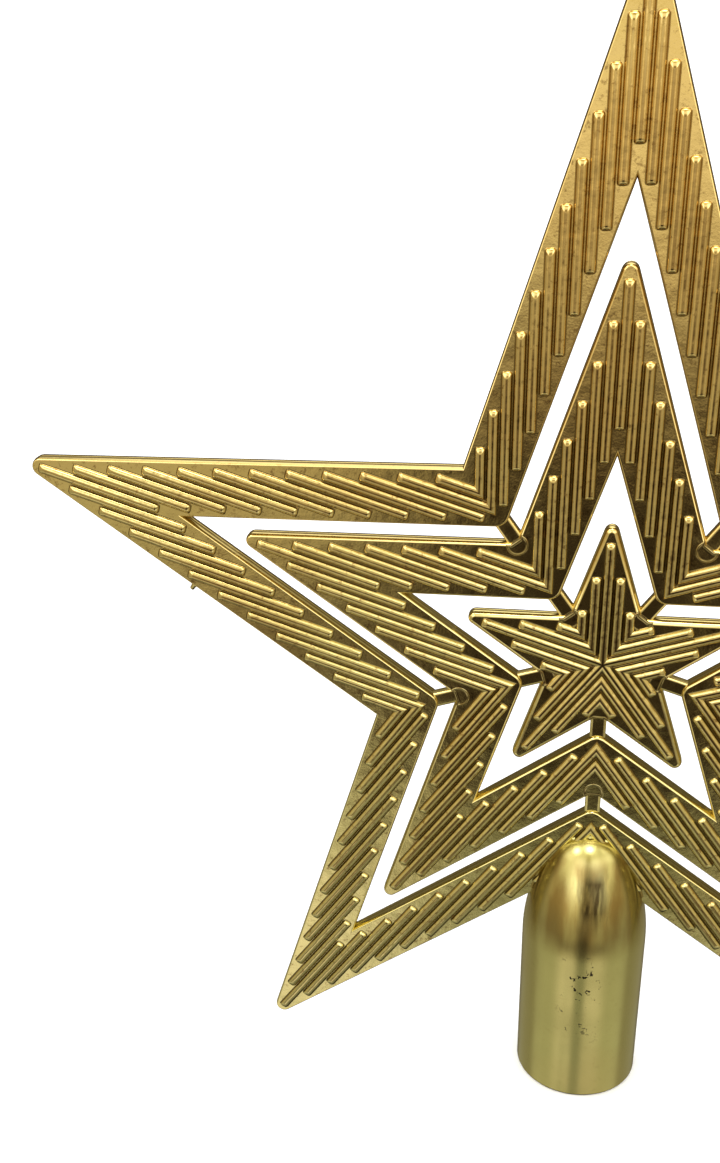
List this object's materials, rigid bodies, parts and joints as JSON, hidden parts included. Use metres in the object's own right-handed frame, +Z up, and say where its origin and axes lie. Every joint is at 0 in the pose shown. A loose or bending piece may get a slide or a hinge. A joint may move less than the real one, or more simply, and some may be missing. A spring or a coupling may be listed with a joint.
{
  "type": "star tree topper",
  "caption": "Gold-plated plastic star for the top of a Christmas tree: nested ribbed open stars joined by flat spokes over a domed socket that slips onto the tree's leader.",
  "frame": {"origin": "centre of the socket's open mouth, on its lower rim, in the middle plane of the stars", "axes": "+Z up along the socket's axis through the top point of the stars, stars in the XZ plane, -Y out of the front face, +X to the right seen from the front"},
  "size_m": [0.2002, 0.0234, 0.1948],
  "materials": {
    "star_gold": "vacuum-metallised gold over moulded plastic, mirror bright, grooves darker",
    "socket_gold": "vacuum-metallised gold over smooth moulded plastic, olive tinted, lightly scratched and pitted",
    "spoke_gold": "vacuum-metallised gold, flat and mirror bright"
  },
  "bodies": {
    "root": {"outer_star_front": "star_gold", "outer_star_rear": "star_gold", "middle_star_front": "star_gold", "middle_star_rear": "star_gold", "inner_star_front": "star_gold", "inner_star_rear": "star_gold", "tree_socket": "socket_gold", "outer_spoke_upper_right": "spoke_gold", "outer_spoke_upper_left": "spoke_gold", "outer_spoke_left": "spoke_gold", "outer_spoke_bottom": "spoke_gold", "outer_spoke_right": "spoke_gold", "inner_spoke_upper_right": "spoke_gold", "inner_spoke_upper_left": "spoke_gold", "inner_spoke_left": "spoke_gold", "inner_spoke_bottom": "spoke_gold", "inner_spoke_right": "spoke_gold"}
  },
  "joints": []
}
